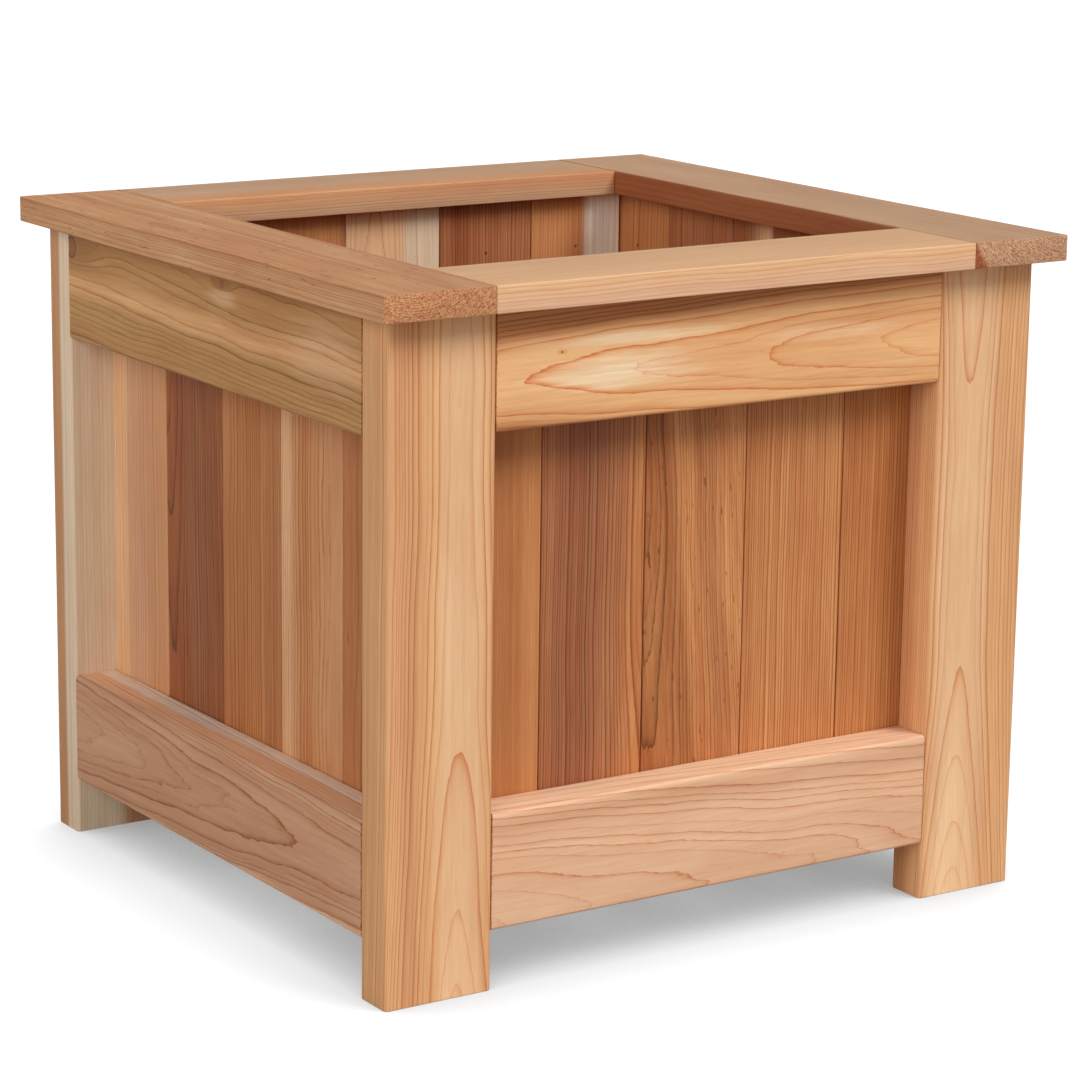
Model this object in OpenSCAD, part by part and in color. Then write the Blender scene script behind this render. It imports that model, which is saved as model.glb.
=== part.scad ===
// Raised planter on four legs, in planed cedar. Four legs and eight rails make the frame, upright boards
// close its sides, four flat boards cap it, and slats on two cleats make its floor.
// Millimetres, +Z up, the front faces -Y. The origin is on the ground under the middle of the planter.

/* [Frame] */
// Width over the legs, left to right
frame_w = 574; // [460:1:900]
// Depth over the legs, front to back
frame_d = 526; // [440:1:900]
// Height of the legs, from the ground to the underside of the cap
leg_h = 498; // [380:1:800]
// Wide side of a leg, left to right
leg_w = 89; // [70:1:110]
// Narrow side of a leg, and the thickness of the front and back rails
leg_t = 35; // [29:1:50]
// Height of the rails
rail_h = 88; // [84:1:120]
// Thickness of the left and right rails
side_rail_t = 38; // [30:1:50]
// Height of the bottom rails above the ground
ground_gap = 45; // [20:1:90]
// Rounding along the edges of the legs and rails
frame_ease = 3; // [0.5:0.5:6]

/* [Cap] */
// Thickness of the cap boards
cap_t = 20; // [16:1:30]
// Width of the cap boards
cap_board_w = 90; // [75:1:120]
// How far the cap stands out past the legs at the left and right
cap_side_overhang = 15; // [0:1:30]
// How far the cap stands out past the legs at the front and back
cap_front_overhang = 21; // [0:1:35]
// Rounding along the edges of the cap boards
cap_ease = 1.5; // [0.5:0.5:4]

/* [Panels] */
// Thickness of the upright panel boards
panel_t = 20; // [14:1:26]
// Gap between two panel boards side by side
panel_gap = 1; // [0.5:0.5:3]
// Gap at each end of the front and back panels, beside the left and right panels
panel_corner_gap = 2; // [0.5:0.5:5]
// Rounding along the edges of the panel boards
panel_ease = 1; // [0.5:0.5:3]

/* [Floor] */
// Thickness of the floor slats
slat_t = 20; // [14:1:26]
// Drainage gap between two slats
slat_gap = 8; // [5:1:14]
// Thickness of the cleats that carry the slats
cleat_t = 20; // [16:1:30]
// Height of the cleats
cleat_h = 38; // [30:1:60]
// Space between the floor and the panels round it
floor_clearance = 2; // [1:0.5:5]
// Rounding along the edges of the slats and cleats
floor_ease = 1; // [0.5:0.5:3]

/* [Screws] */
// Diameter of a screw's shank
screw_d = 4; // [3.5:0.1:5]
// Diameter of a screw's head
screw_head_d = 8.5; // [7.5:0.1:9]
// Height of a screw's head
screw_head_h = 3; // [2.5:0.1:4]
// Side of the square drive in a screw's head
screw_drive = 2.6; // [2:0.1:3]
// Slope of the screws that join the rails to the legs and the cap
pocket_angle = 15; // [13:1:18]
// Diameter of the pocket over a sloping screw's head
pocket_d = 9.5; // [9.2:0.1:11]
// Length of a sloping screw between its head and the joint
pocket_reach = 38; // [30:1:40]
// How far the frame screws go into a leg
leg_bite = 22; // [15:1:26]
// Wood left over the tips of the cap screws
cap_skin = 6; // [4:1:8]
// Height between the two screws at each end of a rail
screw_spread = 44; // [36:1:56]
// How far the cleat screws go into a rail
cleat_bite = 18; // [12:1:24]
// How far the slat screws go into a cleat
slat_bite = 16; // [10:1:20]

/* [Brads] */
// Diameter of a brad
brad_d = 1.6; // [1.2:0.1:2.2]
// Diameter of a brad's head
brad_head_d = 2.4; // [2:0.1:3]
// Height of a brad's head
brad_head_h = 1; // [0.8:0.1:1.5]
// How deep a brad's head is sunk below the wood
brad_sink = 1.5; // [1:0.5:3]
// How far the brads go into a rail
brad_bite = 19; // [12:1:24]

/* [Hidden] */
$fn = 48;
axis_x = [1, 0, 0];
axis_y = [0, 1, 0];
panel_boards = 5;
slats = 5;
fastener_clearance = 0.05;
tip_share = 1.5;                // length of a screw's point, in shank diameters
pilot_extra = 1;                // depth of a pilot hole past the tip
cut_extra = 1;                  // how far a cut runs past the face it opens

// Half sizes, measured from the middle of the planter
half_w = frame_w / 2;
half_d = frame_d / 2;
leg_inner_x = half_w - leg_w;
leg_inner_y = half_d - leg_t;
side_rail_inner_x = half_w - side_rail_t;
side_panel_inner_x = side_rail_inner_x - panel_t;
cross_panel_inner_y = leg_inner_y - panel_t;
cross_panel_half_w = side_panel_inner_x - panel_corner_gap;
cap_half_w = half_w + cap_side_overhang;
cap_half_d = half_d + cap_front_overhang;
cross_cap_half_w = cap_half_w - cap_board_w;
floor_half_w = side_panel_inner_x - floor_clearance;
slat_half_l = cross_panel_inner_y - floor_clearance;
cleat_inner_y = cross_panel_inner_y - cleat_t;

// Heights
top_rail_z = leg_h - rail_h;
slat_z = ground_gap + cleat_h;
slat_top_z = slat_z + slat_t;
rail_mid_heights = [ground_gap + rail_h / 2, top_rail_z + rail_h / 2];
cleat_screw_z = ground_gap + cleat_h / 3;

// Boards side by side
side_pitch = (2 * leg_inner_y + panel_gap) / panel_boards;
cross_pitch = (2 * cross_panel_half_w + panel_gap) / panel_boards;
slat_pitch = (2 * floor_half_w + slat_gap) / slats;
slat_w = slat_pitch - slat_gap;
function board_middle(i, count, pitch) = (i - (count + 1) / 2) * pitch;

// Where the fasteners stand, in board pitches from the middle
cleat_screw_spots = [-0.75, -0.25, 0.25, 0.75];
cross_cap_screw_spots = [-0.5, 0.5];
side_cap_screw_spots = [-1.5, -0.5, 0.5, 1.5];
slat_screw_spots = [-0.25, 0.25];   // in slat widths from the middle of a slat

// Colours of the wood and metal
cream = [0.90, 0.78, 0.62];
honey = [0.87, 0.70, 0.50];
gold = [0.78, 0.57, 0.36];
tan_wood = [0.72, 0.50, 0.33];
orange_wood = [0.74, 0.47, 0.29];
rose = [0.62, 0.37, 0.27];
pink_wood = [0.84, 0.63, 0.47];
steel = [0.62, 0.60, 0.56];
front_panel_colours = [orange_wood, rose, tan_wood, gold, orange_wood];
back_panel_colours = [gold, orange_wood, cream, rose, tan_wood];
left_panel_colours = [tan_wood, cream, gold, rose, honey];
right_panel_colours = [gold, orange_wood, cream, rose, tan_wood];
slat_colours = [tan_wood, gold, honey, gold, tan_wood];

// Names of the pieces
corner_names = ["front_left", "front_right", "back_left", "back_right"];
side_names = ["front", "back", "left", "right"];

// ---- Placing ----

// Draws its children on the +Y side, or mirrored to the front
module on_cross_side(side) {
    if (side == "front") mirror(axis_y) children();
    else children();
}

// Draws its children on the +X side, or mirrored to the left
module on_long_side(side) {
    if (side == "left") mirror(axis_x) children();
    else children();
}

// Draws its children at each of the four corners
module at_all_corners() {
    for (x_side = ["left", "right"], y_side = ["front", "back"])
        on_long_side(x_side) on_cross_side(y_side) children();
}

// ---- Boards ----

// Rectangle with rounded corners
module eased_rectangle(width, height, ease) {
    square([width - 2 * ease, height], center = true);
    square([width, height - 2 * ease], center = true);
    for (x = [-1, 1], y = [-1, 1])
        translate([x * (width / 2 - ease), y * (height / 2 - ease)]) circle(ease);
}

// Board from corner lo to corner hi, with the edges along its length rounded
module board_along_x(lo, hi, ease) {
    middle = (lo + hi) / 2;
    translate([lo.x, middle.y, middle.z])
        rotate([90, 0, 90])
        linear_extrude(hi.x - lo.x)
        eased_rectangle(hi.y - lo.y, hi.z - lo.z, ease);
}

module board_along_y(lo, hi, ease) {
    middle = (lo + hi) / 2;
    translate([middle.x, lo.y, middle.z])
        rotate([-90, 0, 0])
        linear_extrude(hi.y - lo.y)
        eased_rectangle(hi.x - lo.x, hi.z - lo.z, ease);
}

module board_along_z(lo, hi, ease) {
    middle = (lo + hi) / 2;
    translate([middle.x, middle.y, lo.z])
        linear_extrude(hi.z - lo.z)
        eased_rectangle(hi.x - lo.x, hi.y - lo.y, ease);
}

// ---- Fasteners and their holes: +Z runs towards the tip ----

// Shank with a point, from z = 0
module shank(length) {
    point = tip_share * screw_d;
    cylinder(h = length - point, d = screw_d);
    translate([0, 0, length - point]) cylinder(h = point, d1 = screw_d, d2 = 0.5);
}

// Square recess that a driver fits, sunk from z = 0
module drive_recess() {
    depth = screw_head_h * 0.7;
    translate([0, 0, depth / 2 - cut_extra / 2])
        cube([screw_drive, screw_drive, depth + cut_extra], center = true);
}

// Sloping screw whose joint is at z = 0, seated pocket_reach before it
module pocket_screw(bite) {
    translate([0, 0, -pocket_reach]) shank(pocket_reach + bite);
    translate([0, 0, -pocket_reach - screw_head_h])
        difference() {
            cylinder(h = screw_head_h, d = screw_head_d);
            drive_recess();
        }
}

// Hole for a sloping screw: a pilot and a pocket that runs out past the face of a rail
module pocket_hole(bite, rail_t) {
    run_out = (rail_t / 2 + pocket_d) / sin(pocket_angle);
    translate([0, 0, -run_out])
        cylinder(h = run_out + bite + pilot_extra, d = screw_d + 2 * fastener_clearance);
    translate([0, 0, -run_out]) cylinder(h = run_out - pocket_reach, d = pocket_d);
}

// Countersunk screw with its head flush at z = 0
module flush_screw(length) {
    difference() {
        union() {
            cylinder(h = screw_head_h, d1 = screw_head_d, d2 = screw_d);
            translate([0, 0, screw_head_h]) shank(length - screw_head_h);
        }
        drive_recess();
    }
}

// Hole for a countersunk screw
module flush_hole(length) {
    cylinder(h = screw_head_h, d1 = screw_head_d + 2 * fastener_clearance,
             d2 = screw_d + 2 * fastener_clearance);
    cylinder(h = length + pilot_extra, d = screw_d + 2 * fastener_clearance);
}

// Brad sunk below the surface at z = 0
module brad() {
    translate([0, 0, brad_sink]) {
        cylinder(h = brad_head_h, d = brad_head_d);
        cylinder(h = panel_t - brad_sink + brad_bite, d = brad_d);
    }
}

module brad_hole() {
    translate([0, 0, -cut_extra])
        cylinder(h = cut_extra + brad_sink + brad_head_h, d = brad_head_d + 2 * fastener_clearance);
    cylinder(h = panel_t + brad_bite + pilot_extra, d = brad_d + 2 * fastener_clearance);
}

// ---- Where the fasteners go, on the +X and +Y sides ----

// End of the back rails, pointing into the back right leg
module cross_rail_screw_places() {
    for (z = rail_mid_heights, step = [-0.5, 0.5])
        translate([leg_inner_x, (half_d + leg_inner_y) / 2, z + step * screw_spread])
            rotate([0, 90, pocket_angle]) children();
}

// End of the right rails, pointing into the back right leg
module side_rail_screw_places() {
    for (z = rail_mid_heights, step = [-0.5, 0.5])
        translate([(half_w + side_rail_inner_x) / 2, leg_inner_y, z + step * screw_spread])
            rotate([0, 90, 90 - pocket_angle]) children();
}

// Top of the back top rail, pointing up into the cap
module cross_cap_screw_places() {
    for (spot = cross_cap_screw_spots)
        translate([spot * cross_pitch, (half_d + leg_inner_y) / 2, leg_h])
            rotate([-pocket_angle, 0, 0]) children();
}

// Top of the right top rail, pointing up into the cap
module side_cap_screw_places() {
    for (spot = side_cap_screw_spots)
        translate([(half_w + side_rail_inner_x) / 2, spot * side_pitch, leg_h])
            rotate([0, pocket_angle, 0]) children();
}

// Inner face of the back panel, pointing out into the back rails
module cross_brad_places() {
    for (i = [1:panel_boards], z = rail_mid_heights)
        translate([board_middle(i, panel_boards, cross_pitch), cross_panel_inner_y, z])
            rotate([-90, 0, 0]) children();
}

// Inner face of the right panel, pointing out into the right rails
module side_brad_places() {
    for (i = [1:panel_boards], z = rail_mid_heights)
        translate([side_panel_inner_x, board_middle(i, panel_boards, side_pitch), z])
            rotate([0, 90, 0]) children();
}

// Inner face of the back cleat, pointing out into the back bottom rail
module cleat_screw_places() {
    for (spot = cleat_screw_spots)
        translate([spot * cross_pitch, cleat_inner_y, cleat_screw_z])
            rotate([-90, 0, 0]) children();
}

// Back ends of the slats, pointing down into the back cleat
module slat_screw_places() {
    for (i = [1:slats], spot = slat_screw_spots)
        translate([board_middle(i, slats, slat_pitch) + spot * slat_w,
                   (slat_half_l + cleat_inner_y) / 2, slat_top_z])
            rotate([180, 0, 0]) children();
}

cleat_screw_length = cleat_t + panel_t + cleat_bite;
slat_screw_length = slat_t + slat_bite;
cap_bite = (cap_t - cap_skin) / cos(pocket_angle);

// ---- Frame ----

module leg(x_side, y_side) {
    color(honey)
        on_long_side(x_side) on_cross_side(y_side)
        difference() {
            board_along_z([leg_inner_x, leg_inner_y, 0], [half_w, half_d, leg_h], frame_ease);
            cross_rail_screw_places() pocket_hole(leg_bite, leg_t);
            side_rail_screw_places() pocket_hole(leg_bite, side_rail_t);
        }
}

module cross_rail(side, z, wood) {
    color(wood)
        on_cross_side(side)
        difference() {
            board_along_x([-leg_inner_x, leg_inner_y, z], [leg_inner_x, half_d, z + rail_h], frame_ease);
            for (x_side = ["left", "right"])
                on_long_side(x_side) cross_rail_screw_places() pocket_hole(leg_bite, leg_t);
            cross_cap_screw_places() pocket_hole(cap_bite, leg_t);
            cross_brad_places() brad_hole();
            cleat_screw_places() flush_hole(cleat_screw_length);
        }
}

module side_rail(side, z, wood) {
    color(wood)
        on_long_side(side)
        difference() {
            board_along_y([side_rail_inner_x, -leg_inner_y, z], [half_w, leg_inner_y, z + rail_h],
                          frame_ease);
            for (y_side = ["front", "back"])
                on_cross_side(y_side) side_rail_screw_places() pocket_hole(leg_bite, side_rail_t);
            side_cap_screw_places() pocket_hole(cap_bite, side_rail_t);
            side_brad_places() brad_hole();
        }
}

// ---- Cap ----

// The left and right cap boards run the whole depth
module side_cap_board(side) {
    color(tan_wood)
        on_long_side(side)
        difference() {
            board_along_y([cross_cap_half_w, -cap_half_d, leg_h], [cap_half_w, cap_half_d, leg_h + cap_t],
                          cap_ease);
            side_cap_screw_places() pocket_hole(cap_bite, side_rail_t);
        }
}

// The front and back cap boards fit between them
module cross_cap_board(side) {
    color(pink_wood)
        on_cross_side(side)
        difference() {
            board_along_x([-cross_cap_half_w, cap_half_d - cap_board_w, leg_h],
                          [cross_cap_half_w, cap_half_d, leg_h + cap_t], cap_ease);
            cross_cap_screw_places() pocket_hole(cap_bite, leg_t);
        }
}

// ---- Panels ----

// Board i of the front or back panel, counted from the left
module cross_panel_board(side, i, wood) {
    middle = board_middle(i, panel_boards, cross_pitch);
    half_board = (cross_pitch - panel_gap) / 2;
    color(wood)
        on_cross_side(side)
        difference() {
            board_along_z([middle - half_board, cross_panel_inner_y, ground_gap],
                          [middle + half_board, leg_inner_y, leg_h], panel_ease);
            cross_brad_places() brad_hole();
            cleat_screw_places() flush_hole(cleat_screw_length);
        }
}

// Board i of the left or right panel, counted from the front
module side_panel_board(side, i, wood) {
    middle = board_middle(i, panel_boards, side_pitch);
    half_board = (side_pitch - panel_gap) / 2;
    color(wood)
        on_long_side(side)
        difference() {
            board_along_z([side_panel_inner_x, middle - half_board, ground_gap],
                          [side_rail_inner_x, middle + half_board, leg_h], panel_ease);
            side_brad_places() brad_hole();
        }
}

// ---- Floor ----

module floor_cleat(side) {
    color(gold)
        on_cross_side(side)
        difference() {
            board_along_x([-floor_half_w, cleat_inner_y, ground_gap],
                          [floor_half_w, cross_panel_inner_y, slat_z], floor_ease);
            cleat_screw_places() flush_hole(cleat_screw_length);
            slat_screw_places() flush_hole(slat_screw_length);
        }
}

// Slat i of the floor, counted from the left
module floor_slat(i) {
    middle = board_middle(i, slats, slat_pitch);
    color(slat_colours[i - 1])
        difference() {
            board_along_y([middle - slat_w / 2, -slat_half_l, slat_z],
                          [middle + slat_w / 2, slat_half_l, slat_top_z], floor_ease);
            for (y_side = ["front", "back"])
                on_cross_side(y_side) slat_screw_places() flush_hole(slat_screw_length);
        }
}

// ---- Fasteners ----

// Screws that hold the rails to the legs
module frame_screws() {
    color(steel)
        at_all_corners() {
            cross_rail_screw_places() pocket_screw(leg_bite);
            side_rail_screw_places() pocket_screw(leg_bite);
        }
}

// Screws that hold the cap down from below
module cap_screws() {
    color(steel) {
        for (side = ["front", "back"])
            on_cross_side(side) cross_cap_screw_places() pocket_screw(cap_bite);
        for (side = ["left", "right"])
            on_long_side(side) side_cap_screw_places() pocket_screw(cap_bite);
    }
}

// Brads that hold the panel boards to the rails, one at the top and one at the bottom of each
module panel_brads() {
    color(steel) {
        for (side = ["front", "back"])
            on_cross_side(side) cross_brad_places() brad();
        for (side = ["left", "right"])
            on_long_side(side) side_brad_places() brad();
    }
}

module cleat_screws() {
    color(steel)
        for (side = ["front", "back"])
            on_cross_side(side) cleat_screw_places() flush_screw(cleat_screw_length);
}

module slat_screws() {
    color(steel)
        for (side = ["front", "back"])
            on_cross_side(side) slat_screw_places() flush_screw(slat_screw_length);
}

// ---- Pieces ----

for (x_side = ["left", "right"], y_side = ["front", "back"])
    leg(x_side, y_side);

for (side = ["front", "back"]) {
    cross_rail(side, top_rail_z, gold);
    cross_rail(side, ground_gap, pink_wood);
    cross_cap_board(side);
    floor_cleat(side);
}

for (side = ["left", "right"]) {
    side_rail(side, top_rail_z, gold);
    side_rail(side, ground_gap, pink_wood);
    side_cap_board(side);
}

for (i = [1:panel_boards]) {
    cross_panel_board("front", i, front_panel_colours[i - 1]);
    cross_panel_board("back", i, back_panel_colours[i - 1]);
    side_panel_board("left", i, left_panel_colours[i - 1]);
    side_panel_board("right", i, right_panel_colours[i - 1]);
}

for (i = [1:slats])
    floor_slat(i);

frame_screws();
cap_screws();
panel_brads();
cleat_screws();
slat_screws();
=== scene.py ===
"""Raised cedar planter: planed boards with their own grain, sunk brads, a slatted floor and a studio."""
import math
from collections import namedtuple

import bmesh
import bpy
from bpy.props import FloatProperty, FloatVectorProperty, PointerProperty
from mathutils import Euler, Matrix, Vector, noise


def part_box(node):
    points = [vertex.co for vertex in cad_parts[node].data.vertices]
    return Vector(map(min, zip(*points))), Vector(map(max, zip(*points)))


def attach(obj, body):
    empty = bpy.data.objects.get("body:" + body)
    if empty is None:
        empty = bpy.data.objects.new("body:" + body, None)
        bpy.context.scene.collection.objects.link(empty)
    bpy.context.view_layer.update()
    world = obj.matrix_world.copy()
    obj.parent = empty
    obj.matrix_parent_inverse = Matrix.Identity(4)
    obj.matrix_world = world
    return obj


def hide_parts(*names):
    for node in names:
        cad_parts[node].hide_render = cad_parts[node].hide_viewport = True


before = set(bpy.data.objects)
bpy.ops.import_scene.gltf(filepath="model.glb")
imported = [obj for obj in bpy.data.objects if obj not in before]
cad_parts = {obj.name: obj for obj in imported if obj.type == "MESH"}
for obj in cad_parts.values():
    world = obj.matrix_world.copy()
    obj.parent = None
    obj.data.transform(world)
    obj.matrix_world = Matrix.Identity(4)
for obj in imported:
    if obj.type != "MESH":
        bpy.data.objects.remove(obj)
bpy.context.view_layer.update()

bl_info = {
    "name": "Raised Planter",
    "version": (1, 0, 0),
    "blender": (4, 5, 0),
    "location": "View3D > Sidebar > Planter",
    "description": "Finishes the boards of a raised cedar planter and sets up its studio",
    "category": "Object",
}

MM = 0.001
CROSSWISE = ("front", "back")
SIDES = (*CROSSWISE, "left", "right")
CORNERS = ("front_left", "front_right", "back_left", "back_right")
PANEL_BOARDS = range(1, 6)
SLATS = range(1, 6)


# ---- Sizes and colours that a user would change ----

def length(name, description, default):
    return FloatProperty(name=name, description=description, default=default, min=0.0, unit="LENGTH")


def angle(name, description, degrees):
    return FloatProperty(name=name, description=description, default=math.radians(degrees), subtype="ANGLE")


def amount(name, description, default):
    return FloatProperty(name=name, description=description, default=default, min=0.0)


def colour(name, description, default):
    return FloatVectorProperty(name=name, description=description, default=default, size=3,
                               min=0.0, max=1.0, subtype="COLOR")


class PlanterBoards(bpy.types.PropertyGroup):
    """How the boards are planed"""
    frame_ease: length("Frame easing", "Rounding along the edges of the legs and rails", 0.003)
    cap_ease: length("Cap easing", "Rounding along the edges of the cap boards", 0.001)
    end_ease: length("End easing", "Rounding round the sawn ends", 0.0007)
    plane_wave: length("Planer waves", "Depth of the shallow waves left by the planer", 0.00018)
    section: length("Section", "Length of board between two cross sections", 0.012)


class PlanterColours(bpy.types.PropertyGroup):
    """Colours of the wood and the metal"""
    knot: colour("Knot", "Heart of a knot", (0.36, 0.145, 0.065))
    bark: colour("Knot rim", "Dark rim round a knot", (0.11, 0.042, 0.02))
    zinc: colour("Zinc", "Zinc plated screws", (0.62, 0.60, 0.55))
    brad: colour("Brad", "Brad heads", (0.30, 0.28, 0.26))
    floor: colour("Floor", "Studio floor", (0.15, 0.155, 0.16))


class PlanterStudio(bpy.types.PropertyGroup):
    """Camera and light"""
    azimuth: angle("Azimuth", "Turn of the camera about the planter", -33.36)
    elevation: angle("Elevation", "Height of the camera as an angle", 13.02)
    roll: angle("Roll", "Roll of the camera", 0.74)
    distance: length("Distance", "From the camera to the point it looks at", 2.8736)
    lens: FloatProperty(name="Lens", description="Focal length in millimetres", default=120.23, min=1.0)
    aim_right: length("Aim right", "How far right of the middle the camera looks", 0.01242)
    aim_height: length("Aim height", "Height that the camera looks at", 0.2567)
    sky: amount("Sky", "Strength of the even light all round", 0.18)
    key: amount("Key light", "Strength of the soft key light", 2.42)
    fill: amount("Fill light", "Strength of the light on the left", 1.68)
    back: amount("Back light", "Strength of the low light from behind", 1.25)
    floor_glow: amount("Floor glow", "How far the floor is lifted towards white", 1.0)
    floor_shade: FloatProperty(name="Floor shade", description="How dark the floor gets under the planter",
                               default=0.83, min=0.0, max=1.0)
    shade_reach: length("Shade reach", "How far the shade under the planter reaches out", 0.15)
    floor_bounce: colour("Floor bounce", "Share of light that the floor sends back up", (0.455, 0.425, 0.39))


# ---- Wood ----

# Wood between the rings, as bare colours in linear light; rust also stands for painted shade on the right cap
# board's inner face and the right panel's third board
WOOD = {
    "ivory": (0.78, 0.61, 0.43),
    "milk": (0.95, 0.88, 0.74),
    "butter": (0.90, 0.68, 0.44),
    "cream": (0.79, 0.485, 0.265),
    "straw": (0.76, 0.46, 0.25),
    "sand": (0.80, 0.435, 0.195),
    "honey": (0.73, 0.40, 0.19),
    "gold": (0.70, 0.37, 0.16),
    "olive": (0.50, 0.252, 0.092),
    "tan": (0.65, 0.32, 0.15),
    "fawn": (0.60, 0.30, 0.14),
    "beige": (0.58, 0.345, 0.205),
    "clay": (0.61, 0.325, 0.19),
    "petal": (0.80, 0.54, 0.35),
    "peach": (0.90, 0.58, 0.36),
    "blush": (0.76, 0.46, 0.285),
    "pink": (0.64, 0.345, 0.20),
    "amber": (0.53, 0.20, 0.066),
    "orange": (0.58, 0.235, 0.085),
    "rose": (0.44, 0.155, 0.064),
    "mauve": (0.365, 0.12, 0.053),
    "umber": (0.50, 0.19, 0.068),
    "rust": (0.36, 0.11, 0.04),
    "russet": (0.43, 0.15, 0.048),
}
LINE_TINT = (0.42, 0.26)            # what a ring line does to the wood's green and blue; red is squared
TONE_TINT = (0.5, 1.0, 1.25)        # how much more the red, green and blue change from light to dark wood

# How a board was cut from its log, in mm.
# pith: from the middle of the board to the middle of the log
# zones: colours, each from a depth outside the first ring of the board
# rings: a year's growth; crowd: how fast the years narrow outwards
# taper, bow: how fast the rings run out along the board, and how much faster away from its middle
# follow: how far the colours run out with the rings
# drift, ragged: how far the rings wander over a long and a short way
# lines, texture, flecks: strength of the ring lines, of the streaks and fibres, and of the short marks
# tilt: turn of the log in degrees about the two axes across the board
# knots: place, and radius
# patches: pale spots, each with its place, how far it reaches across and along the board, and its strength
Cut = namedtuple(
    "Cut", "pith zones rings crowd taper bow follow drift ragged lines texture flecks tilt knots patches",
    defaults=(2.2, 0.0, 0.0, 0.0, 0.0, 1.2, 0.5, 0.6, 1.0, 0.2, (0.0, 0.0), (), ()))

LEG_CUTS = {
    "front_left": Cut(
        (16, -77, 0), ((0, "cream"), (1, "cream"), (5, "honey"), (12, "tan"), (24, "honey")),
        rings=2.1, taper=-0.014, bow=0.00004, drift=0.8, ragged=0.3, lines=1.3, texture=1.2),
    "front_right": Cut(
        (-13, -77, 0), ((0, "cream"), (3, "straw"), (8, "honey"), (22, "honey"), (27, "tan")),
        rings=2.1, taper=-0.011, bow=0.00008, drift=0.8, ragged=0.3, lines=1.25, texture=1.3),
    "back_left": Cut(
        (100, 300, 0), ((29, "fawn"), (43, "fawn"), (47, "ivory"), (61, "ivory")),
        rings=1.2, drift=0.4, ragged=0.2, lines=0.6),
    "back_right": Cut(
        (-20, 77, 0), ((0, "cream"), (4, "honey"), (12, "tan")), rings=2.0, taper=0.01, lines=1.1),
}
TOP_RAIL_CUTS = {
    "front": Cut(
        (0, -80, -9), ((-7, "sand"), (9, "sand"), (13, "umber")),
        rings=3.4, crowd=0.012, taper=0.0225, follow=1.0, drift=1.1, ragged=0.7, lines=1.45, texture=1.5,
        knots=(((-144, -17, 9), 0.8),),
        patches=(((-92, -17, -9), 16, 80, 0.9), ((-80, -17, 15), 6, 100, 0.7), ((95, -17, 4), 8, 70, 0.4))),
    "back": Cut(
        (0, 80, 8), ((0, "gold"), (8, "tan")), rings=3.6, crowd=0.01, taper=-0.025, lines=1.4, texture=1.4),
    "left": Cut(
        (-88, 0, 58), ((0, "olive"), (8, "olive"), (20, "gold"), (30, "olive")),
        rings=4.4, taper=-0.03, drift=3.0, ragged=1.3, lines=1.3, texture=1.9,
        knots=(((-19, 222, 30), 7.5), ((-19, -27, 35), 2.6)),
        patches=(((-19, -27, 24), 8, 26, 0.3), ((-19, -180, 6), 30, 70, 0.2))),
    "right": Cut(
        (88, 0, 10), ((0, "gold"), (8, "tan")),
        rings=3.4, crowd=0.01, taper=0.022, drift=1.5, lines=1.4, texture=1.4),
}
BOTTOM_RAIL_CUTS = {
    "front": Cut(
        (0, -77, -45), ((0, "blush"), (20, "blush"), (38, "pink"), (47, "blush"), (55, "petal")),
        rings=5.4, taper=-0.07, drift=2.2, ragged=1.8, lines=1.4, texture=1.2),
    "back": Cut(
        (0, 77, 40), ((0, "blush"), (10, "pink")),
        rings=5.0, taper=0.06, drift=3.0, ragged=1.4, lines=1.3, texture=1.3),
    "left": Cut(
        (-77, 0, 3), ((0, "clay"), (13, "clay"), (18, "peach"), (30, "peach"), (33, "milk")),
        rings=2.9, taper=0.03, drift=1.4, ragged=1.6, lines=1.4, texture=1.4),
    "right": Cut(
        (77, 0, -10), ((0, "blush"), (10, "pink")),
        rings=3.0, taper=-0.03, drift=1.6, ragged=1.4, lines=1.3, texture=1.3),
}
CAP_CUTS = {
    "front": Cut(
        (0, 70, 90), ((0, "straw"), (58, "straw"), (64, "blush")), rings=2.0, lines=0.8, texture=0.9),
    "back": Cut(
        (0, -60, 80), ((0, "tan"), (20, "beige"), (60, "beige")), rings=2.2, lines=0.8, texture=1.3),
    "left": Cut(
        (-20, 0, 70), ((0, "fawn"),), rings=2.3, lines=0.9, texture=2.6, flecks=1.4),
    # The rust beyond 56 mm lies on the inner face, facing into the planter: painted shade, darker than the
    # board's own beige
    "right": Cut(
        (46, 0, 50), ((0, "beige"), (56, "beige"), (60, "rust")),
        rings=2.3, lines=0.8, texture=1.6, flecks=0.5),
}
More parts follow.
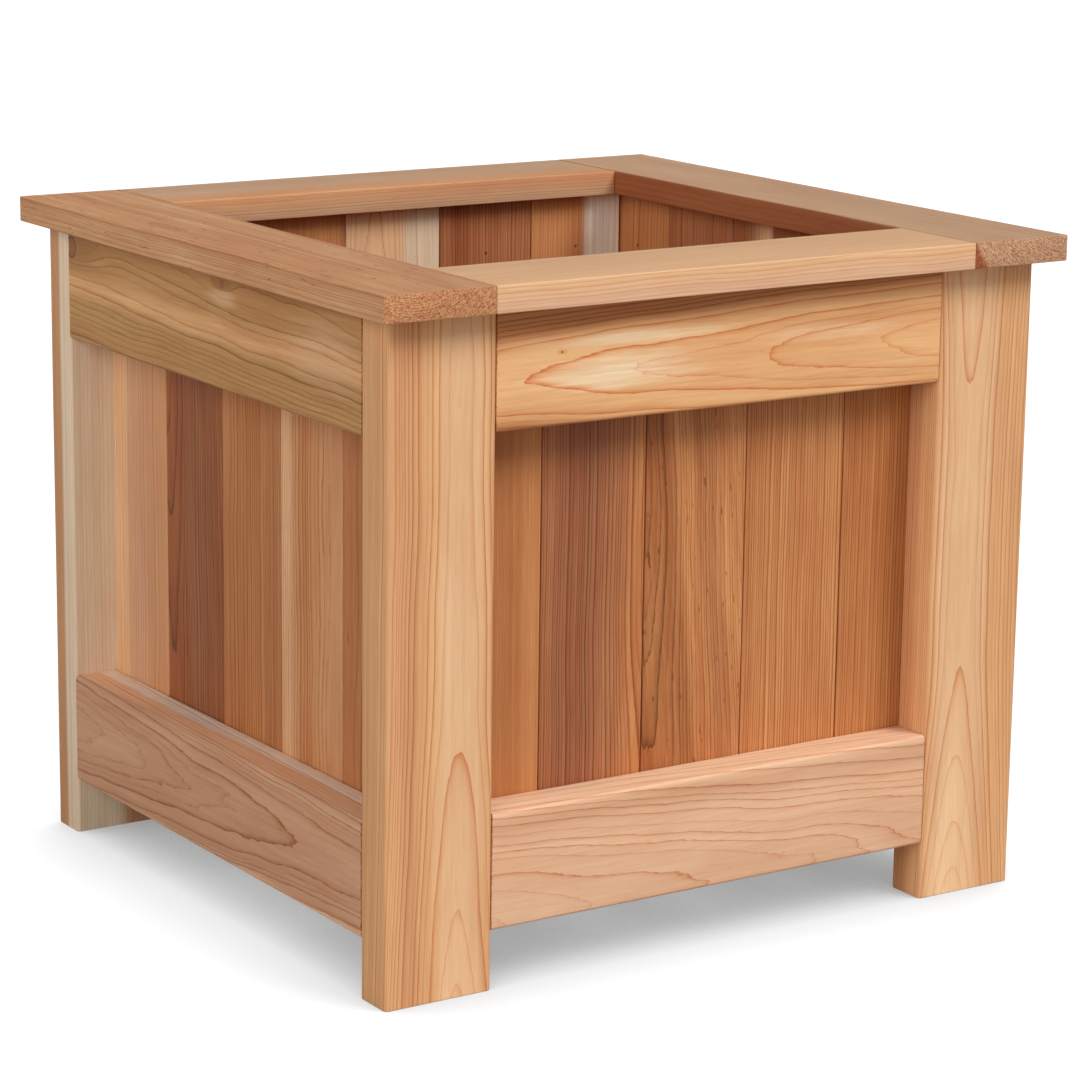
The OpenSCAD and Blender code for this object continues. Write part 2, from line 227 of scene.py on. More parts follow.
PANEL_CUTS = {
    "front": (
        Cut((-70, -90, 0), ((0, "amber"), (40, "amber"), (54, "orange")), rings=2.0, lines=0.4, texture=1.8),
        Cut((58, -50, 0), ((0, "orange"), (14, "rose"), (34, "mauve"), (50, "mauve"), (66, "rose")),
            rings=2.2, taper=0.03, lines=2.0, texture=2.2, tilt=(0, -2)),
        Cut((-50, -60, 0), ((0, "russet"), (10, "russet"), (17, "orange"), (22, "orange"), (27, "umber"),
                            (36, "umber"), (46, "orange")),
            rings=2.0, taper=0.045, drift=2.0, ragged=0.9, lines=1.6, texture=2.8, flecks=1.6, tilt=(0, 6)),
        Cut((-130, -40, 0), ((30, "orange"), (118, "orange"), (124, "gold"), (132, "orange")),
            rings=2.4, lines=2.3, texture=2.2),
        Cut((90, -50, 0), ((0, "orange"), (30, "amber")), rings=2.4, lines=1.9, texture=2.2),
    ),
    "back": (
        Cut((50, -70, 0), ((0, "orange"),), rings=2.2, lines=1.0, texture=1.4),
        Cut((-90, -40, 0), ((0, "orange"), (70, "orange"), (80, "umber")), rings=2.2, lines=1.2, texture=1.6),
        Cut((-18, -50, 0), ((0, "cream"), (6, "cream"), (12, "ivory")),
            rings=2.4, crowd=0.01, taper=-0.03, drift=1.2, lines=1.1),
        Cut((80, -30, 0), ((0, "rose"), (50, "rose"), (72, "rust"), (80, "rose"), (90, "rust")),
            rings=3.0, lines=1.8, texture=1.8),
        Cut((-70, -50, 0), ((0, "orange"), (36, "orange"), (46, "milk")), rings=2.4, lines=1.0, texture=1.4),
    ),
    "left": (
        Cut((-80, 40, 0), ((0, "umber"),), rings=2.2, lines=1.8, texture=2.2),
        Cut((-90, -50, 0), ((0, "tan"), (20, "orange"), (28, "tan"), (34, "straw")),
            rings=3.2, crowd=0.004, drift=1.6, ragged=1.2, lines=1.8, texture=2.0),
        Cut((-80, 50, 0), ((0, "umber"), (20, "amber"), (30, "umber")), rings=2.0, lines=1.6, texture=2.2),
        Cut((-60, 40, 0), ((0, "rust"), (14, "mauve"), (30, "rust")),
            rings=2.2, taper=0.03, lines=2.2, texture=2.6, tilt=(3, 0)),
        Cut((-90, -60, 0), ((0, "tan"), (24, "pink"), (40, "cream")), rings=2.6, lines=0.9, texture=1.2),
    ),
    "right": (
        Cut((-70, 50, 0), ((0, "amber"),), rings=2.4, lines=1.2, texture=1.5),
        Cut((-70, -60, 0), ((0, "rust"),), rings=2.4, lines=1.2, texture=1.5),
        # The third board's rust is partly its own dark red wood and partly painted shade of the shaded inside
        # of the right panel
        Cut((-50, 40, 0), ((0, "rust"), (20, "cream"), (26, "rust")), rings=2.4, lines=1.2, texture=1.5),
        Cut((-80, 50, 0), ((0, "rose"),), rings=2.2, lines=1.5, texture=1.6),
        Cut((-90, 30, 0), ((0, "amber"),), rings=2.6, lines=1.2, texture=1.5),
    ),
}
SLAT_CUTS = (
    Cut((20, 0, 60), ((0, "honey"), (10, "tan")), rings=3.0, taper=0.02, lines=1.2, texture=1.4),
    Cut((-30, 0, 50), ((0, "amber"), (10, "orange")), rings=2.8, taper=-0.03, lines=1.2, texture=1.4),
    Cut((10, 0, 55), ((0, "cream"), (10, "honey")), rings=3.2, taper=0.03, lines=1.2, texture=1.4),
    Cut((60, 0, 40), ((0, "tan"),), rings=2.4, lines=1.2, texture=1.4),
    Cut((-14, 0, 48), ((0, "orange"), (10, "tan")), rings=3.0, taper=0.02, lines=1.2, texture=1.4),
)
CLEAT_CUT = Cut((0, 40, -40), ((0, "tan"),), rings=2.6, lines=1.2, texture=1.4)

# Sizes of the patterns in the wood, in mm across and along the grain
WANDER = (70, 150)
WAVER = (14, 60)
FRAY = (1.6, 14)
STREAK = (3.6, 240)
FIBRE = (0.9, 26)
CLOUD = (26, 130)
FLECK = (4.5, 16)
PATCH_EDGE = (5, 60)
KNOT_STRETCH = 0.32     # how fast a knot's push fades along the board, as a share of that across it

# The first number of each kind of board.
# A board's number sets its stretch of log, and its waves if it is planed.
FIRST_LEG = 1
FIRST_RAIL = 11
FIRST_CAP_BOARD = 21
FIRST_PANEL_BOARD = 30
FIRST_SLAT = 61
FIRST_CLEAT = 70
LOG_SPACING = 900.0     # mm along the log from one board to the next, so that no two boards match
PATCH_SPACING = 40.0    # mm across the log from one board's patch edges to the next one's


# ---- Node helpers ----

class Graph:
    """Adds nodes to a tree; every method returns the socket that it made."""

    def __init__(self, tree):
        self.tree = tree

    def add(self, kind, inputs, output=0, **settings):
        node = self.tree.nodes.new(kind)
        for name, value in settings.items():
            setattr(node, name, value)
        for socket, value in inputs.items():
            self.feed(node.inputs[socket], value)
        return node.outputs[output]

    def feed(self, socket, value):
        if isinstance(value, bpy.types.NodeSocket):
            self.tree.links.new(value, socket)
        else:
            socket.default_value = value

    def math(self, operation, *values, clamp=False):
        return self.add("ShaderNodeMath", dict(enumerate(values)), operation=operation, use_clamp=clamp)

    def vector(self, operation, *values, output=0):
        return self.add("ShaderNodeVectorMath", dict(enumerate(values)), output, operation=operation)

    def step(self, value, start, end, low=0.0, high=1.0):
        """Smooth step from low at start to high at end"""
        return self.add("ShaderNodeMapRange", {0: value, 1: start, 2: end, 3: low, 4: high},
                        interpolation_type="SMOOTHSTEP")

    def noise(self, vector, detail=1.0):
        return self.add("ShaderNodeTexNoise", {"Vector": vector, "Scale": 1.0, "Detail": detail})

    def noise_along(self, value, scale):
        return self.add("ShaderNodeTexNoise", {"W": value, "Scale": scale, "Detail": 1.0},
                        noise_dimensions="1D")

    def stretch(self, vector, across, along):
        """Coordinates for a pattern whose features are this many mm across and along the grain"""
        return self.vector("MULTIPLY", vector, (1 / across, 1 / across, 1 / along))

    def mix(self, share, a, b, blend="MIX"):
        node = self.tree.nodes.new("ShaderNodeMix")
        node.data_type = "RGBA"
        node.blend_type = blend
        self.feed(node.inputs["Factor"], share)
        self.feed(node.inputs["A"], a)
        self.feed(node.inputs["B"], b)
        return node.outputs["Result"]


def group_tree(name, inputs, outputs):
    tree = bpy.data.node_groups.new(name, "ShaderNodeTree")
    for label, kind in inputs:
        tree.interface.new_socket(label, in_out="INPUT", socket_type="NodeSocket" + kind)
    for label, kind in outputs:
        tree.interface.new_socket(label, in_out="OUTPUT", socket_type="NodeSocket" + kind)
    return tree, tree.nodes.new("NodeGroupInput").outputs, tree.nodes.new("NodeGroupOutput").inputs


def knot_group():
    """How a knot pushes the rings aside and how far a point is from its heart"""
    tree, given, result = group_tree(
        "knot", (("Vector", "Vector"), ("Place", "Vector"), ("Size", "Float")),
        (("Push", "Float"), ("Nearness", "Float"), ("Reach", "Float")))
    graph = Graph(tree)
    offset = graph.vector("SUBTRACT", given["Vector"], given["Place"])
    branch = graph.vector("NORMALIZE", graph.vector("MULTIPLY", given["Place"], (1, 1, 0)))
    along_branch = graph.vector("DOT_PRODUCT", offset, branch, output=1)
    away = graph.vector("SUBTRACT", offset, graph.add(
        "ShaderNodeVectorMath", {0: branch, "Scale": along_branch}, operation="SCALE"))
    distance = graph.math("DIVIDE", graph.vector("LENGTH", away, output=1), given["Size"])
    squeezed = graph.vector("MULTIPLY", away, (1, 1, KNOT_STRETCH))
    stretched = graph.math("DIVIDE", graph.vector("LENGTH", squeezed, output=1), given["Size"])
    bulge = graph.math("EXPONENT", graph.math("MULTIPLY", graph.math("POWER", stretched, 2.0), -0.22))
    tree.links.new(graph.math("MULTIPLY", bulge, graph.math("MULTIPLY", given["Size"], 1.6)), result["Push"])
    tree.links.new(distance, result["Nearness"])
    tree.links.new(stretched, result["Reach"])
    return tree


def grain_group():
    """Growth rings, fibres, flecks and end grain of a log whose pith runs along Z, in millimetres"""
    tree, given, result = group_tree(
        "cedar grain",
        (("Vector", "Vector"), ("Normal", "Vector"), ("Seed", "Float"), ("Heart", "Float"), ("Push", "Float"),
         ("End", "Float"), ("Follow", "Float"),
         ("Rings", "Float"), ("Crowd", "Float"), ("Taper", "Float"), ("Bow", "Float"), ("Drift", "Float"),
         ("Ragged", "Float"), ("Lines", "Float"), ("Texture", "Float"), ("Flecks", "Float")),
        (("Depth", "Float"), ("Line", "Float"), ("Tone", "Float"), ("Roughness", "Float"),
         ("Height", "Float")))
    graph = Graph(tree)
    place = given["Vector"]
    shift = graph.add("ShaderNodeCombineXYZ", {"Z": given["Seed"]})
    lookup = graph.vector("ADD", place, shift)
    split = tree.nodes.new("ShaderNodeSeparateXYZ")
    tree.links.new(place, split.inputs[0])

    # Depth outside the board's first ring, wandering over a long way, a short way and from fibre to fibre
    depth = graph.vector("LENGTH", graph.vector("MULTIPLY", place, (1, 1, 0)), output=1)
    depth = graph.math("SUBTRACT", depth, given["Heart"])
    slow = graph.math("SUBTRACT", graph.noise(graph.stretch(lookup, *WANDER)), 0.5)
    short = graph.math("SUBTRACT", graph.noise(graph.stretch(lookup, *WAVER), detail=3.0), 0.5)
    fine = graph.math("SUBTRACT", graph.noise(graph.stretch(lookup, *FRAY), detail=2.0), 0.5)
    depth = graph.math("MULTIPLY_ADD", slow, graph.math("MULTIPLY", given["Drift"], 4.0), depth)
    depth = graph.math("MULTIPLY_ADD", short, graph.math("MULTIPLY", given["Ragged"], 2.0), depth)
    depth = graph.math("MULTIPLY_ADD", fine, graph.math("MULTIPLY", given["Ragged"], 0.5), depth)
    depth = graph.math("SUBTRACT", depth, given["Push"])
    along = split.outputs["Z"]
    run_out = graph.math("MULTIPLY", along, graph.math("MULTIPLY_ADD", along, given["Bow"], given["Taper"]))
    colour_depth = graph.math("SUBTRACT", depth, graph.math("MULTIPLY", run_out, given["Follow"]))
    depth = graph.math("SUBTRACT", depth, run_out)

    # Years narrow outwards; each one ends in a line with a sharp outer edge, thinner where the cut is shallow
    outward = graph.vector("NORMALIZE", graph.vector("MULTIPLY", place, (1, 1, 0)))
    square_on = graph.vector("DOT_PRODUCT", outward, given["Normal"], output=1)
    slant = graph.math("SQRT", graph.math("SUBTRACT", 1.0, graph.math("POWER", square_on, 2.0)), clamp=True)
    thickness = graph.math("MULTIPLY_ADD", slant, 0.5, 0.10)
    outside = graph.math("MAXIMUM", depth, 0.0)
    per_mm = graph.math("DIVIDE", 1.0, given["Rings"])
    crowded = graph.math("MULTIPLY", outside, given["Crowd"])
    years = graph.math("MULTIPLY", depth, per_mm)
    years = graph.math("MULTIPLY_ADD", graph.math("MULTIPLY", crowded, outside), 0.5, years)
    uneven = graph.noise_along(graph.math("ADD", years, given["Seed"]), 0.23)
    years = graph.math("MULTIPLY_ADD", uneven, 2.4, years)
    width = graph.math("DIVIDE", 1.0, graph.math("ADD", per_mm, crowded))
    weight = graph.add("ShaderNodeTexWhiteNoise", {"W": graph.math("FLOOR", years)}, noise_dimensions="1D")
    weight = graph.math("MULTIPLY_ADD", weight, 0.7, 0.3)
    thickness = graph.math("MINIMUM", thickness, graph.math("MULTIPLY", width, 0.2))
    within = graph.math("FRACT", years)
    before = graph.math("MULTIPLY", graph.math("SUBTRACT", 1.0, within), width)
    edge = graph.math("EXPONENT", graph.math("MULTIPLY", graph.math("DIVIDE", before, thickness), -1.0))
    shade = graph.math("MULTIPLY", graph.math("POWER", within, 3.0), 0.17)
    line = graph.math("MULTIPLY", graph.math("ADD", edge, shade), weight)
    line = graph.math("MULTIPLY", line, given["Lines"])

    # Groups of darker years, long streaks, fibres, short flecks and slow clouds
    group = graph.step(graph.noise_along(years, 0.35), 0.42, 0.62, 0.5, -0.5)
    streak = graph.math("SUBTRACT", graph.noise(graph.stretch(lookup, *STREAK), detail=4.0), 0.5)
    fibre = graph.noise(graph.stretch(lookup, *FIBRE), detail=3.0)
    cloud = graph.math("SUBTRACT", graph.noise(graph.stretch(lookup, *CLOUD), detail=2.0), 0.5)
    fleck = graph.step(graph.noise(graph.stretch(lookup, *FLECK), detail=4.0), 0.64, 0.70)
    tone = graph.math("MULTIPLY_ADD", group, 0.07, 1.0)
    tone = graph.math("MULTIPLY_ADD", streak, 0.26, tone)
    tone = graph.math("MULTIPLY_ADD", cloud, 0.28, tone)
    tone = graph.math("MULTIPLY", tone, graph.math("MULTIPLY_ADD", fibre, 0.30, 0.85))
    tone = graph.math("POWER", tone, given["Texture"])
    marks = graph.math("MULTIPLY", fleck, given["Flecks"])
    line = graph.math("MAXIMUM", line, graph.math("MULTIPLY", marks, 0.6))

    # End grain: darker and rougher, torn along the rings in place of streaks
    bearing = graph.math("ARCTAN2", split.outputs["Y"], split.outputs["X"])
    round_ring = graph.math("MULTIPLY", bearing, graph.math("ADD", given["Heart"], 10.0))
    polar = graph.add("ShaderNodeCombineXYZ", {"X": round_ring, "Y": depth, "Z": along})
    torn = graph.noise(graph.vector("MULTIPLY", polar, (0.8, 1.7, 0.6)), detail=3.0)
    end_tone = graph.step(torn, 0.38, 0.58, 0.34, 1.12)
    tone = graph.add("ShaderNodeMix", {0: given["End"], 2: tone, 3: end_tone}, data_type="FLOAT")
    rough = graph.math("MULTIPLY_ADD", fibre, 0.20, 0.42)
    rough = graph.math("MULTIPLY_ADD", given["End"], 0.25, rough)
    height = graph.math("MULTIPLY_ADD", line, 0.1, fibre)
    height = graph.add("ShaderNodeMix", {0: given["End"], 2: height, 3: graph.math("MULTIPLY", torn, 4.0)},
                       data_type="FLOAT")
    for label, value in (("Depth", colour_depth), ("Line", line), ("Tone", tone), ("Roughness", rough),
                         ("Height", height)):
        tree.links.new(value, result[label])
    return tree


# Turns that bring a board's length onto the log's Z
TURNS = {"x": Euler((0, -math.pi / 2, 0)), "y": Euler((math.pi / 2, 0, 0)), "z": Euler((0, 0, 0))}
AXES = {"x": Vector((1, 0, 0)), "y": Vector((0, 1, 0)), "z": Vector((0, 0, 1))}


def blank_material(name):
    material = bpy.data.materials.new(name)
    material.use_nodes = True
    shader = material.node_tree.nodes["Principled BSDF"]
    return material, Graph(material.node_tree), shader


def board_frame(node, along, cut):
    """The turn onto the log, the middle of the board, and the depth of the board's first ring"""
    low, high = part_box(node)
    tilt = Euler((math.radians(cut.tilt[0]), math.radians(cut.tilt[1]), 0)).to_matrix()
    turn = tilt @ TURNS[along].to_matrix()
    middle = (low + high) / 2 / MM
    half = (high - low) / 2 / MM
    gaps = [max(abs(cut.pith[i]) - half[i], 0) for i in range(3) if "xyz"[i] != along]
    return turn, middle, math.hypot(*gaps)


def zone_colours(graph, depth, zones):
    """Colour by depth in the log, blended from zone to zone"""
    first, last = zones[0][0] - 1, zones[-1][0] + 1
    share = graph.add("ShaderNodeMapRange", {0: depth, 1: first, 2: last})
    node = graph.tree.nodes.new("ShaderNodeValToRGB")
    node.color_ramp.interpolation = "EASE"
    graph.feed(node.inputs["Fac"], share)
    stops = node.color_ramp.elements
    stops.remove(stops[1])
    for i, (start, wood) in enumerate(zones):
        at = (start - first) / (last - first)
        stop = stops[0] if i == 0 else stops.new(at)
        stop.position = at
        stop.color = (*WOOD[wood], 1)
    return node.outputs["Color"]


def add_patches(graph, log, surface, places, number):
    """Pale spots with a streaky edge, each given by its point in the log, its two reaches and its strength"""
    butter = (*WOOD["butter"], 1)
    for point, across, reach, strength in places:
        distance = graph.vector("LENGTH", graph.stretch(graph.vector("SUBTRACT", log, point), across, reach),
                                output=1)
        shifted = graph.vector("ADD", log, (number * PATCH_SPACING, 0, 0))
        edge = graph.noise(graph.stretch(shifted, *PATCH_EDGE), detail=2.0)
        distance = graph.math("ADD", distance, graph.math("SUBTRACT", edge, 0.5))
        surface = graph.mix(graph.step(distance, 0.2, 1.15, strength, 0.0), surface, butter)
    return surface


def add_knots(graph, surface, lined, knots):
    """A dark halo, a rim and a ringed heart for each knot"""
    colours = bpy.context.scene.planter_colours
    heart_wood = (*colours.knot, 1)
    bark = (*colours.bark, 1)
    for knot in knots:
        halo = graph.step(knot.outputs["Reach"], 0.8, 2.6, 0.45, 0.0)
        surface = graph.mix(halo, surface, lined)
        rings = graph.math("SINE", graph.math("MULTIPLY", knot.outputs["Nearness"], 22.0))
        heart = graph.mix(graph.math("MULTIPLY_ADD", rings, 0.16, 0.18), heart_wood, bark)
        rim = graph.step(knot.outputs["Nearness"], 0.98, 1.12, 1.0, 0.0)
        surface = graph.mix(rim, surface, bark)
        core = graph.step(knot.outputs["Nearness"], 0.86, 0.98, 1.0, 0.0)
        surface = graph.mix(core, surface, heart)
    return surface


def cedar(name, node, along, cut, number):
    """The wood of one board, cut from its own place in a log"""
    material, graph, shader = blank_material(name)
    turn, middle, heart = board_frame(node, along, cut)
    place = -(turn @ (middle + Vector(cut.pith)))
    at = graph.add("ShaderNodeTexCoord", {}, "Object")
    normal = graph.add("ShaderNodeTexCoord", {}, "Normal")
    log = graph.add("ShaderNodeMapping", {"Vector": at, "Location": place, "Rotation": turn.to_euler(),
                                          "Scale": (1 / MM, 1 / MM, 1 / MM)})
    facing = graph.math("ABSOLUTE", graph.vector("DOT_PRODUCT", normal, AXES[along], output=1))
    end = graph.step(facing, 0.80, 0.95)
    log_normal = graph.add("ShaderNodeMapping", {"Vector": normal, "Rotation": turn.to_euler()},
                           vector_type="NORMAL")
    push = 0.0
    knots = []
    for spot, size in cut.knots:
        knot = graph.tree.nodes.new("ShaderNodeGroup")
        knot.node_tree = bpy.data.node_groups["knot"]
        graph.feed(knot.inputs["Vector"], log)
        graph.feed(knot.inputs["Place"], turn @ (middle + Vector(spot)) + place)
        graph.feed(knot.inputs["Size"], size)
        push = graph.math("ADD", knot.outputs["Push"], push)
        knots.append(knot)
    grain = graph.tree.nodes.new("ShaderNodeGroup")
    grain.node_tree = bpy.data.node_groups["cedar grain"]
    values = {"Vector": log, "Normal": log_normal, "Seed": number * LOG_SPACING, "Heart": heart,
              "Push": push, "End": end, "Follow": cut.follow, "Rings": cut.rings, "Crowd": cut.crowd,
              "Taper": cut.taper, "Bow": cut.bow, "Drift": cut.drift, "Ragged": cut.ragged,
              "Lines": cut.lines, "Texture": cut.texture, "Flecks": cut.flecks}
    for socket, value in values.items():
        graph.feed(grain.inputs[socket], value)
    surface = zone_colours(graph, grain.outputs["Depth"], cut.zones)
    places = [(turn @ (middle + Vector(spot)) + place, *rest) for spot, *rest in cut.patches]
    surface = add_patches(graph, log, surface, places, number)
    red = graph.add("ShaderNodeSeparateColor", {0: surface})
    tint = graph.add("ShaderNodeCombineColor", {0: red, 1: LINE_TINT[0], 2: LINE_TINT[1]})
    lined = graph.mix(1.0, surface, tint, blend="MULTIPLY")
    surface = graph.mix(grain.outputs["Line"], surface, lined)
    tones = [graph.math("POWER", grain.outputs["Tone"], share) for share in TONE_TINT]
    toned = graph.add("ShaderNodeCombineColor", dict(enumerate(tones)))
    surface = graph.mix(1.0, surface, toned, blend="MULTIPLY")
    surface = add_knots(graph, surface, lined, knots)
    graph.feed(shader.inputs["Base Color"], surface)
    graph.feed(shader.inputs["Roughness"], grain.outputs["Roughness"])
    shader.inputs["Specular IOR Level"].default_value = 0.35
    bump = graph.add("ShaderNodeBump", {"Strength": 0.4, "Distance": 0.00006,
                                        "Height": grain.outputs["Height"]})
    graph.feed(shader.inputs["Normal"], bump)
    return material


def metal(name, tint, roughness):
    """Plated steel with fine scratches"""
    material, graph, shader = blank_material(name)
    at = graph.add("ShaderNodeTexCoord", {}, "Object")
    grit = graph.noise(graph.vector("MULTIPLY", at, (2600, 2600, 900)), detail=3.0)
    graph.feed(shader.inputs["Base Color"], graph.mix(grit, (*(c * 0.72 for c in tint), 1), (*tint, 1)))
    graph.feed(shader.inputs["Roughness"], graph.math("MULTIPLY_ADD", grit, 0.3, roughness - 0.15))
    shader.inputs["Metallic"].default_value = 1.0
    bump = graph.add("ShaderNodeBump", {"Strength": 0.2, "Distance": 0.00005, "Height": grit})
    graph.feed(shader.inputs["Normal"], bump)
    return material


# ---- Boards ----

PARALLEL = 0.9          # a cosine above this counts as along the board
WAVES_PER_METRE = 9.0   # of the planer
SHARP_ANGLE = 40        # degrees; a steeper edge stays sharp


def linked(name, bm):
    mesh = bpy.data.meshes.new(name)
    bm.to_mesh(mesh)
    bm.free()
    piece = bpy.data.objects.new(name, mesh)
    bpy.context.scene.collection.objects.link(piece)
    for polygon in mesh.polygons:
        polygon.use_smooth = True
    return piece


def heading(edge):
    """Which way an edge runs"""
    return (edge.verts[1].co - edge.verts[0].co).normalized()


def planed_board(name, node, along, ease, seed):
    """A board the size of its CAD node, with eased edges, eased sawn ends and faint planer waves"""
    sizes = bpy.context.scene.planter_boards
    low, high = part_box(node)
    bm = bmesh.new()
    bmesh.ops.create_cube(bm, size=1.0)
    bmesh.ops.scale(bm, vec=high - low, verts=bm.verts)
    bmesh.ops.translate(bm, vec=(low + high) / 2, verts=bm.verts)
    direction = AXES[along]
    long_edges = [edge for edge in bm.edges if abs(heading(edge).dot(direction)) > PARALLEL]
    bmesh.ops.bevel(bm, geom=long_edges, offset=ease, segments=4, profile=0.5, affect="EDGES", material=-1)
    ends = [face for face in bm.faces if abs(face.normal.dot(direction)) > PARALLEL]
    end_edges = list({edge for face in ends for edge in face.edges})
    bmesh.ops.bevel(bm, geom=end_edges, offset=sizes.end_ease, segments=2, profile=0.5, affect="EDGES",
                    material=-1)
    start = low.dot(direction) + 2 * sizes.end_ease
    stop = high.dot(direction) - 2 * sizes.end_ease
    cuts = max(2, round((stop - start) / sizes.section))
    for i in range(cuts + 1):
        at = start + (stop - start) * i / cuts
        bmesh.ops.bisect_plane(bm, geom=bm.verts[:] + bm.edges[:] + bm.faces[:], plane_co=direction * at,
                               plane_no=direction, dist=1e-7)
    bm.normal_update()
    for vert in bm.verts:
        wave = noise.noise((vert.co + Vector((seed, seed, seed))) * WAVES_PER_METRE) + 1.0
        vert.co -= vert.normal * sizes.plane_wave * 0.5 * wave
    bmesh.ops.recalc_face_normals(bm, faces=bm.faces)
    piece = linked(name, bm)
    piece.data.set_sharp_from_angle(angle=math.radians(SHARP_ANGLE))
    return piece


def finish_board(node, along, ease, cut, number):
    piece = planed_board(node + "_planed", node, along, ease, number)
    piece.data.materials.append(cedar(node + "_wood", node, along, cut, number))
    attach(piece, "root")
    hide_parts(node)
    return piece


def paint(node, material):
    """Gives a CAD node its finish, and leaves its mesh alone"""
    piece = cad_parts[node]
    piece.data.materials.clear()
    piece.data.materials.append(material)


# ---- Operators ----

class PLANTER_OT_legs(bpy.types.Operator):
    """Plane the four legs"""
    bl_idname = "planter.legs"
    bl_label = "Legs"

    def execute(self, context):
        for number, corner in enumerate(CORNERS, FIRST_LEG):
            finish_board(corner + "_leg", "z", context.scene.planter_boards.frame_ease, LEG_CUTS[corner],
                         number)
        return {"FINISHED"}


class PLANTER_OT_rails(bpy.types.Operator):
    """Plane the top and bottom rails"""
    bl_idname = "planter.rails"
    bl_label = "Rails"

    def execute(self, context):
        ease = context.scene.planter_boards.frame_ease
        for number, side in enumerate(SIDES, FIRST_RAIL):
            along = "x" if side in CROSSWISE else "y"
            finish_board(side + "_top_rail", along, ease, TOP_RAIL_CUTS[side], number)
            finish_board(side + "_bottom_rail", along, ease, BOTTOM_RAIL_CUTS[side],
                         number + len(SIDES))
        return {"FINISHED"}


class PLANTER_OT_cap(bpy.types.Operator):
    """Plane the cap boards"""
    bl_idname = "planter.cap"
    bl_label = "Cap"

    def execute(self, context):
        ease = context.scene.planter_boards.cap_ease
        for number, side in enumerate(SIDES, FIRST_CAP_BOARD):
            along, slot = ("x", "cedar_cap_short") if side in CROSSWISE else ("y", "cedar_cap_long")
            finish_board(side + "_cap_board", along, ease, CAP_CUTS[side], number)
        return {"FINISHED"}


class PLANTER_OT_panels(bpy.types.Operator):
    """Finish the upright panel boards"""
    bl_idname = "planter.panels"
    bl_label = "Panels"

    def execute(self, context):
        number = FIRST_PANEL_BOARD
        for side in SIDES:
            for i in PANEL_BOARDS:
                node = f"{side}_panel_board_{i}"
                paint(node, cedar(node + "_wood", node, "z", PANEL_CUTS[side][i - 1], number))
                number += 1
        return {"FINISHED"}


class PLANTER_OT_floor(bpy.types.Operator):
    """Finish the floor slats and their cleats"""
    bl_idname = "planter.floor"
    bl_label = "Floor slats"

    def execute(self, context):
        for number, i in enumerate(SLATS, FIRST_SLAT):
            node = f"floor_slat_{i}"
            paint(node, cedar(node + "_wood", node, "y", SLAT_CUTS[i - 1], number))
        for number, side in enumerate(CROSSWISE, FIRST_CLEAT):
            node = side + "_floor_cleat"
            paint(node, cedar(node + "_wood", node, "x", CLEAT_CUT, number))
        return {"FINISHED"}


class PLANTER_OT_fasteners(bpy.types.Operator):
    """Finish the screws and brads"""
    bl_idname = "planter.fasteners"
    bl_label = "Fasteners"

    def execute(self, context):
        colours = context.scene.planter_colours
        zinc = metal("zinc_plate", colours.zinc, 0.42)
        for node in ("frame_screws", "cap_screws", "cleat_screws", "slat_screws"):
            paint(node, zinc)
        paint("panel_brads", metal("brad_wire", colours.brad, 0.5))
        return {"FINISHED"}


# spread: how many degrees wide the light looks; towards: the way to the light
# glossy: whether the light shows as a sheen on the wood
Lamp = namedtuple("Lamp", "name spread towards glossy")
LAMPS = (
    Lamp("key", 30, (0.42, -0.68, 0.84), True),
    Lamp("fill", 50, (-0.88, -0.46, 0.38), True),
    Lamp("back", 30, (0.42, 0.90, 0.0), False),
)
FLOOR_REACH = 30.0      # metres from the middle of the floor to its edges
OPEN_ENOUGH = 0.83      # share of open space above a point of the floor that leaves it white


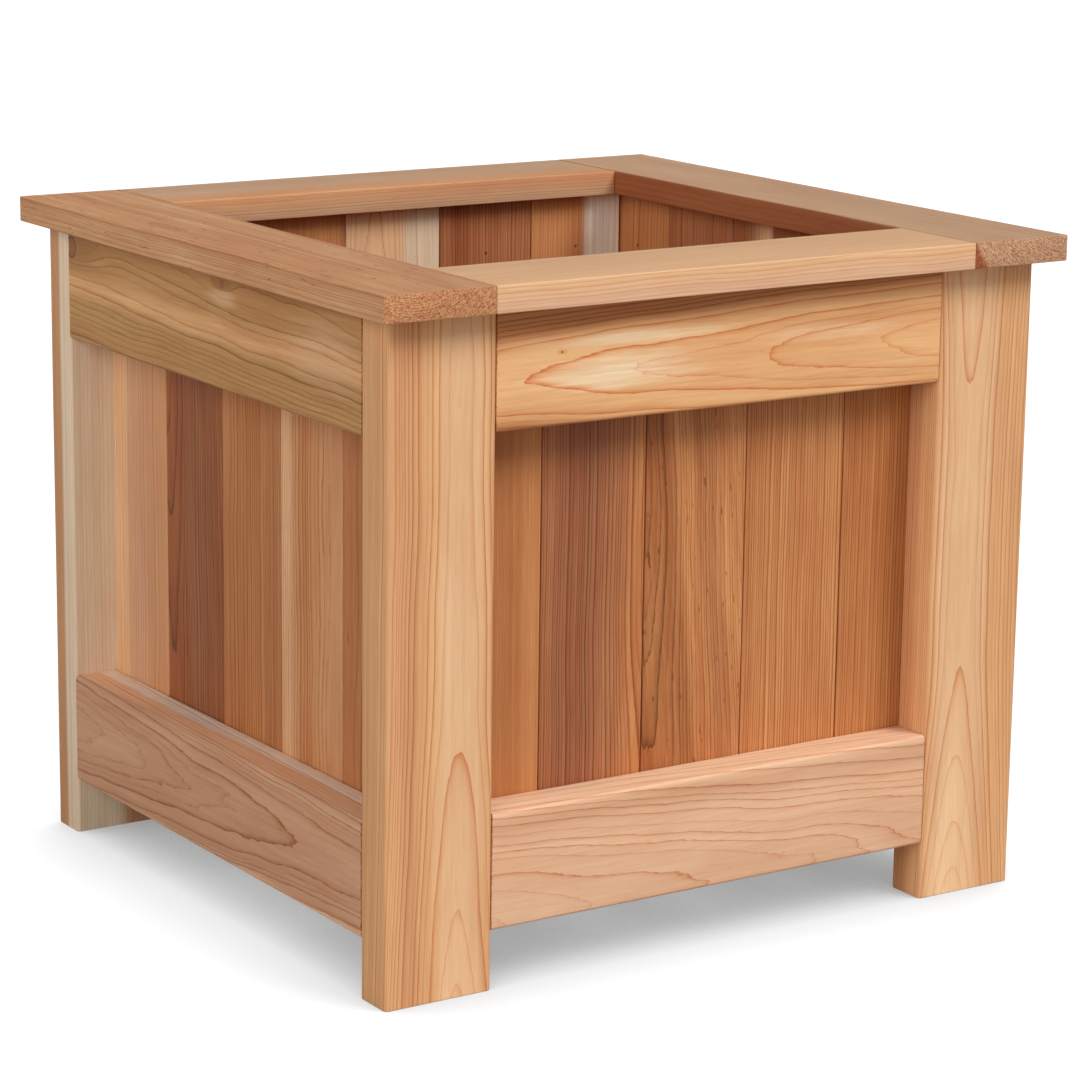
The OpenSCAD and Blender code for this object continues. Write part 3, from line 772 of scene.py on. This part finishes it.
class PLANTER_OT_studio(bpy.types.Operator):
    """Lay the floor, light it and place the camera"""
    bl_idname = "planter.studio"
    bl_label = "Studio"

    def execute(self, context):
        scene = context.scene
        studio = scene.planter_studio
        self.lay_floor(scene, studio)
        self.light(scene, studio)
        self.place_camera(scene, studio)
        return {"FINISHED"}

    def lay_floor(self, scene, studio):
        """A pale floor that looks white where it is open, and is shaded where the planter stands over it"""
        bm = bmesh.new()
        bmesh.ops.create_grid(bm, x_segments=1, y_segments=1, size=FLOOR_REACH)
        floor = linked("studio_floor", bm)
        material, graph, shader = blank_material("studio_floor")
        seen = graph.add("ShaderNodeLightPath", {}, "Is Camera Ray")
        paint_colour = graph.mix(seen, (*studio.floor_bounce, 1), (*scene.planter_colours.floor, 1))
        graph.feed(shader.inputs["Base Color"], paint_colour)
        shader.inputs["Roughness"].default_value = 0.9
        shader.inputs["Specular IOR Level"].default_value = 0.0
        shader.inputs["Emission Color"].default_value = (1, 1, 1, 1)
        openness = graph.add("ShaderNodeAmbientOcclusion", {"Distance": studio.shade_reach}, "AO", samples=16)
        openness = graph.math("DIVIDE", openness, OPEN_ENOUGH, clamp=True)
        openness = graph.math("MULTIPLY_ADD", openness, studio.floor_shade, 1.0 - studio.floor_shade)
        glow = graph.math("MULTIPLY", openness, studio.floor_glow)
        graph.feed(shader.inputs["Emission Strength"], graph.math("MULTIPLY", seen, glow))
        floor.data.materials.append(material)

    def light(self, scene, studio):
        """An even sky that looks white, and the lamps"""
        world = bpy.data.worlds.new("studio_sky")
        world.use_nodes = True
        sky = world.node_tree.nodes["Background"]
        graph = Graph(world.node_tree)
        seen = graph.add("ShaderNodeLightPath", {}, "Is Camera Ray")
        sky.inputs["Color"].default_value = (1.0, 1.0, 1.0, 1)
        graph.feed(sky.inputs["Strength"], graph.math("MULTIPLY_ADD", seen, 1.0 - studio.sky, studio.sky))
        scene.world = world
        for lamp in LAMPS:
            data = bpy.data.lights.new(lamp.name, "SUN")
            data.energy = getattr(studio, lamp.name)
            data.angle = math.radians(lamp.spread)
            sun = bpy.data.objects.new(lamp.name, data)
            sun.rotation_euler = Vector(lamp.towards).to_track_quat("Z", "Y").to_euler()
            sun.visible_glossy = lamp.glossy
            scene.collection.objects.link(sun)

    def place_camera(self, scene, studio):
        data = bpy.data.cameras.new("camera")
        data.lens = studio.lens
        data.sensor_width = 36.0
        camera = bpy.data.objects.new("camera", data)
        turn, rise, roll = studio.azimuth, studio.elevation, studio.roll
        back = Vector((math.sin(turn) * math.cos(rise), -math.cos(turn) * math.cos(rise), math.sin(rise)))
        right = Vector((math.cos(turn), math.sin(turn), 0))
        up = back.cross(right)
        turned_right = right * math.cos(roll) + up * math.sin(roll)
        turned_up = up * math.cos(roll) - right * math.sin(roll)
        facing = Matrix((turned_right, turned_up, back)).transposed().to_4x4()
        aim = Vector((studio.aim_right, 0, studio.aim_height))
        camera.matrix_world = Matrix.Translation(aim + back * studio.distance) @ facing
        scene.collection.objects.link(camera)
        scene.camera = camera
        scene.view_settings.view_transform = "Standard"


class PLANTER_PT_panel(bpy.types.Panel):
    """Lists the planter's steps"""
    bl_idname = "PLANTER_PT_panel"
    bl_label = "Planter"
    bl_space_type = "VIEW_3D"
    bl_region_type = "UI"
    bl_category = "Planter"

    def draw(self, context):
        for operator in OPERATORS:
            self.layout.operator(operator.bl_idname)
        for group_name in GROUPS:
            group = getattr(context.scene, group_name)
            for name in group.__annotations__:
                self.layout.prop(group, name)


GROUPS = {
    "planter_boards": PlanterBoards,
    "planter_colours": PlanterColours,
    "planter_studio": PlanterStudio,
}
OPERATORS = (PLANTER_OT_legs, PLANTER_OT_rails, PLANTER_OT_cap, PLANTER_OT_panels, PLANTER_OT_floor,
             PLANTER_OT_fasteners, PLANTER_OT_studio)


def register():
    for name, group in GROUPS.items():
        bpy.utils.register_class(group)
        setattr(bpy.types.Scene, name, PointerProperty(type=group))
    for item in (*OPERATORS, PLANTER_PT_panel):
        bpy.utils.register_class(item)


def unregister():
    for item in (PLANTER_PT_panel, *reversed(OPERATORS)):
        bpy.utils.unregister_class(item)
    for name, group in reversed(GROUPS.items()):
        delattr(bpy.types.Scene, name)
        bpy.utils.unregister_class(group)


def main():
    register()
    grain_group()
    knot_group()
    bpy.ops.planter.legs()
    bpy.ops.planter.rails()
    bpy.ops.planter.cap()
    bpy.ops.planter.panels()
    bpy.ops.planter.floor()
    bpy.ops.planter.fasteners()
    bpy.ops.planter.studio()


if __name__ == "__main__":
    main()
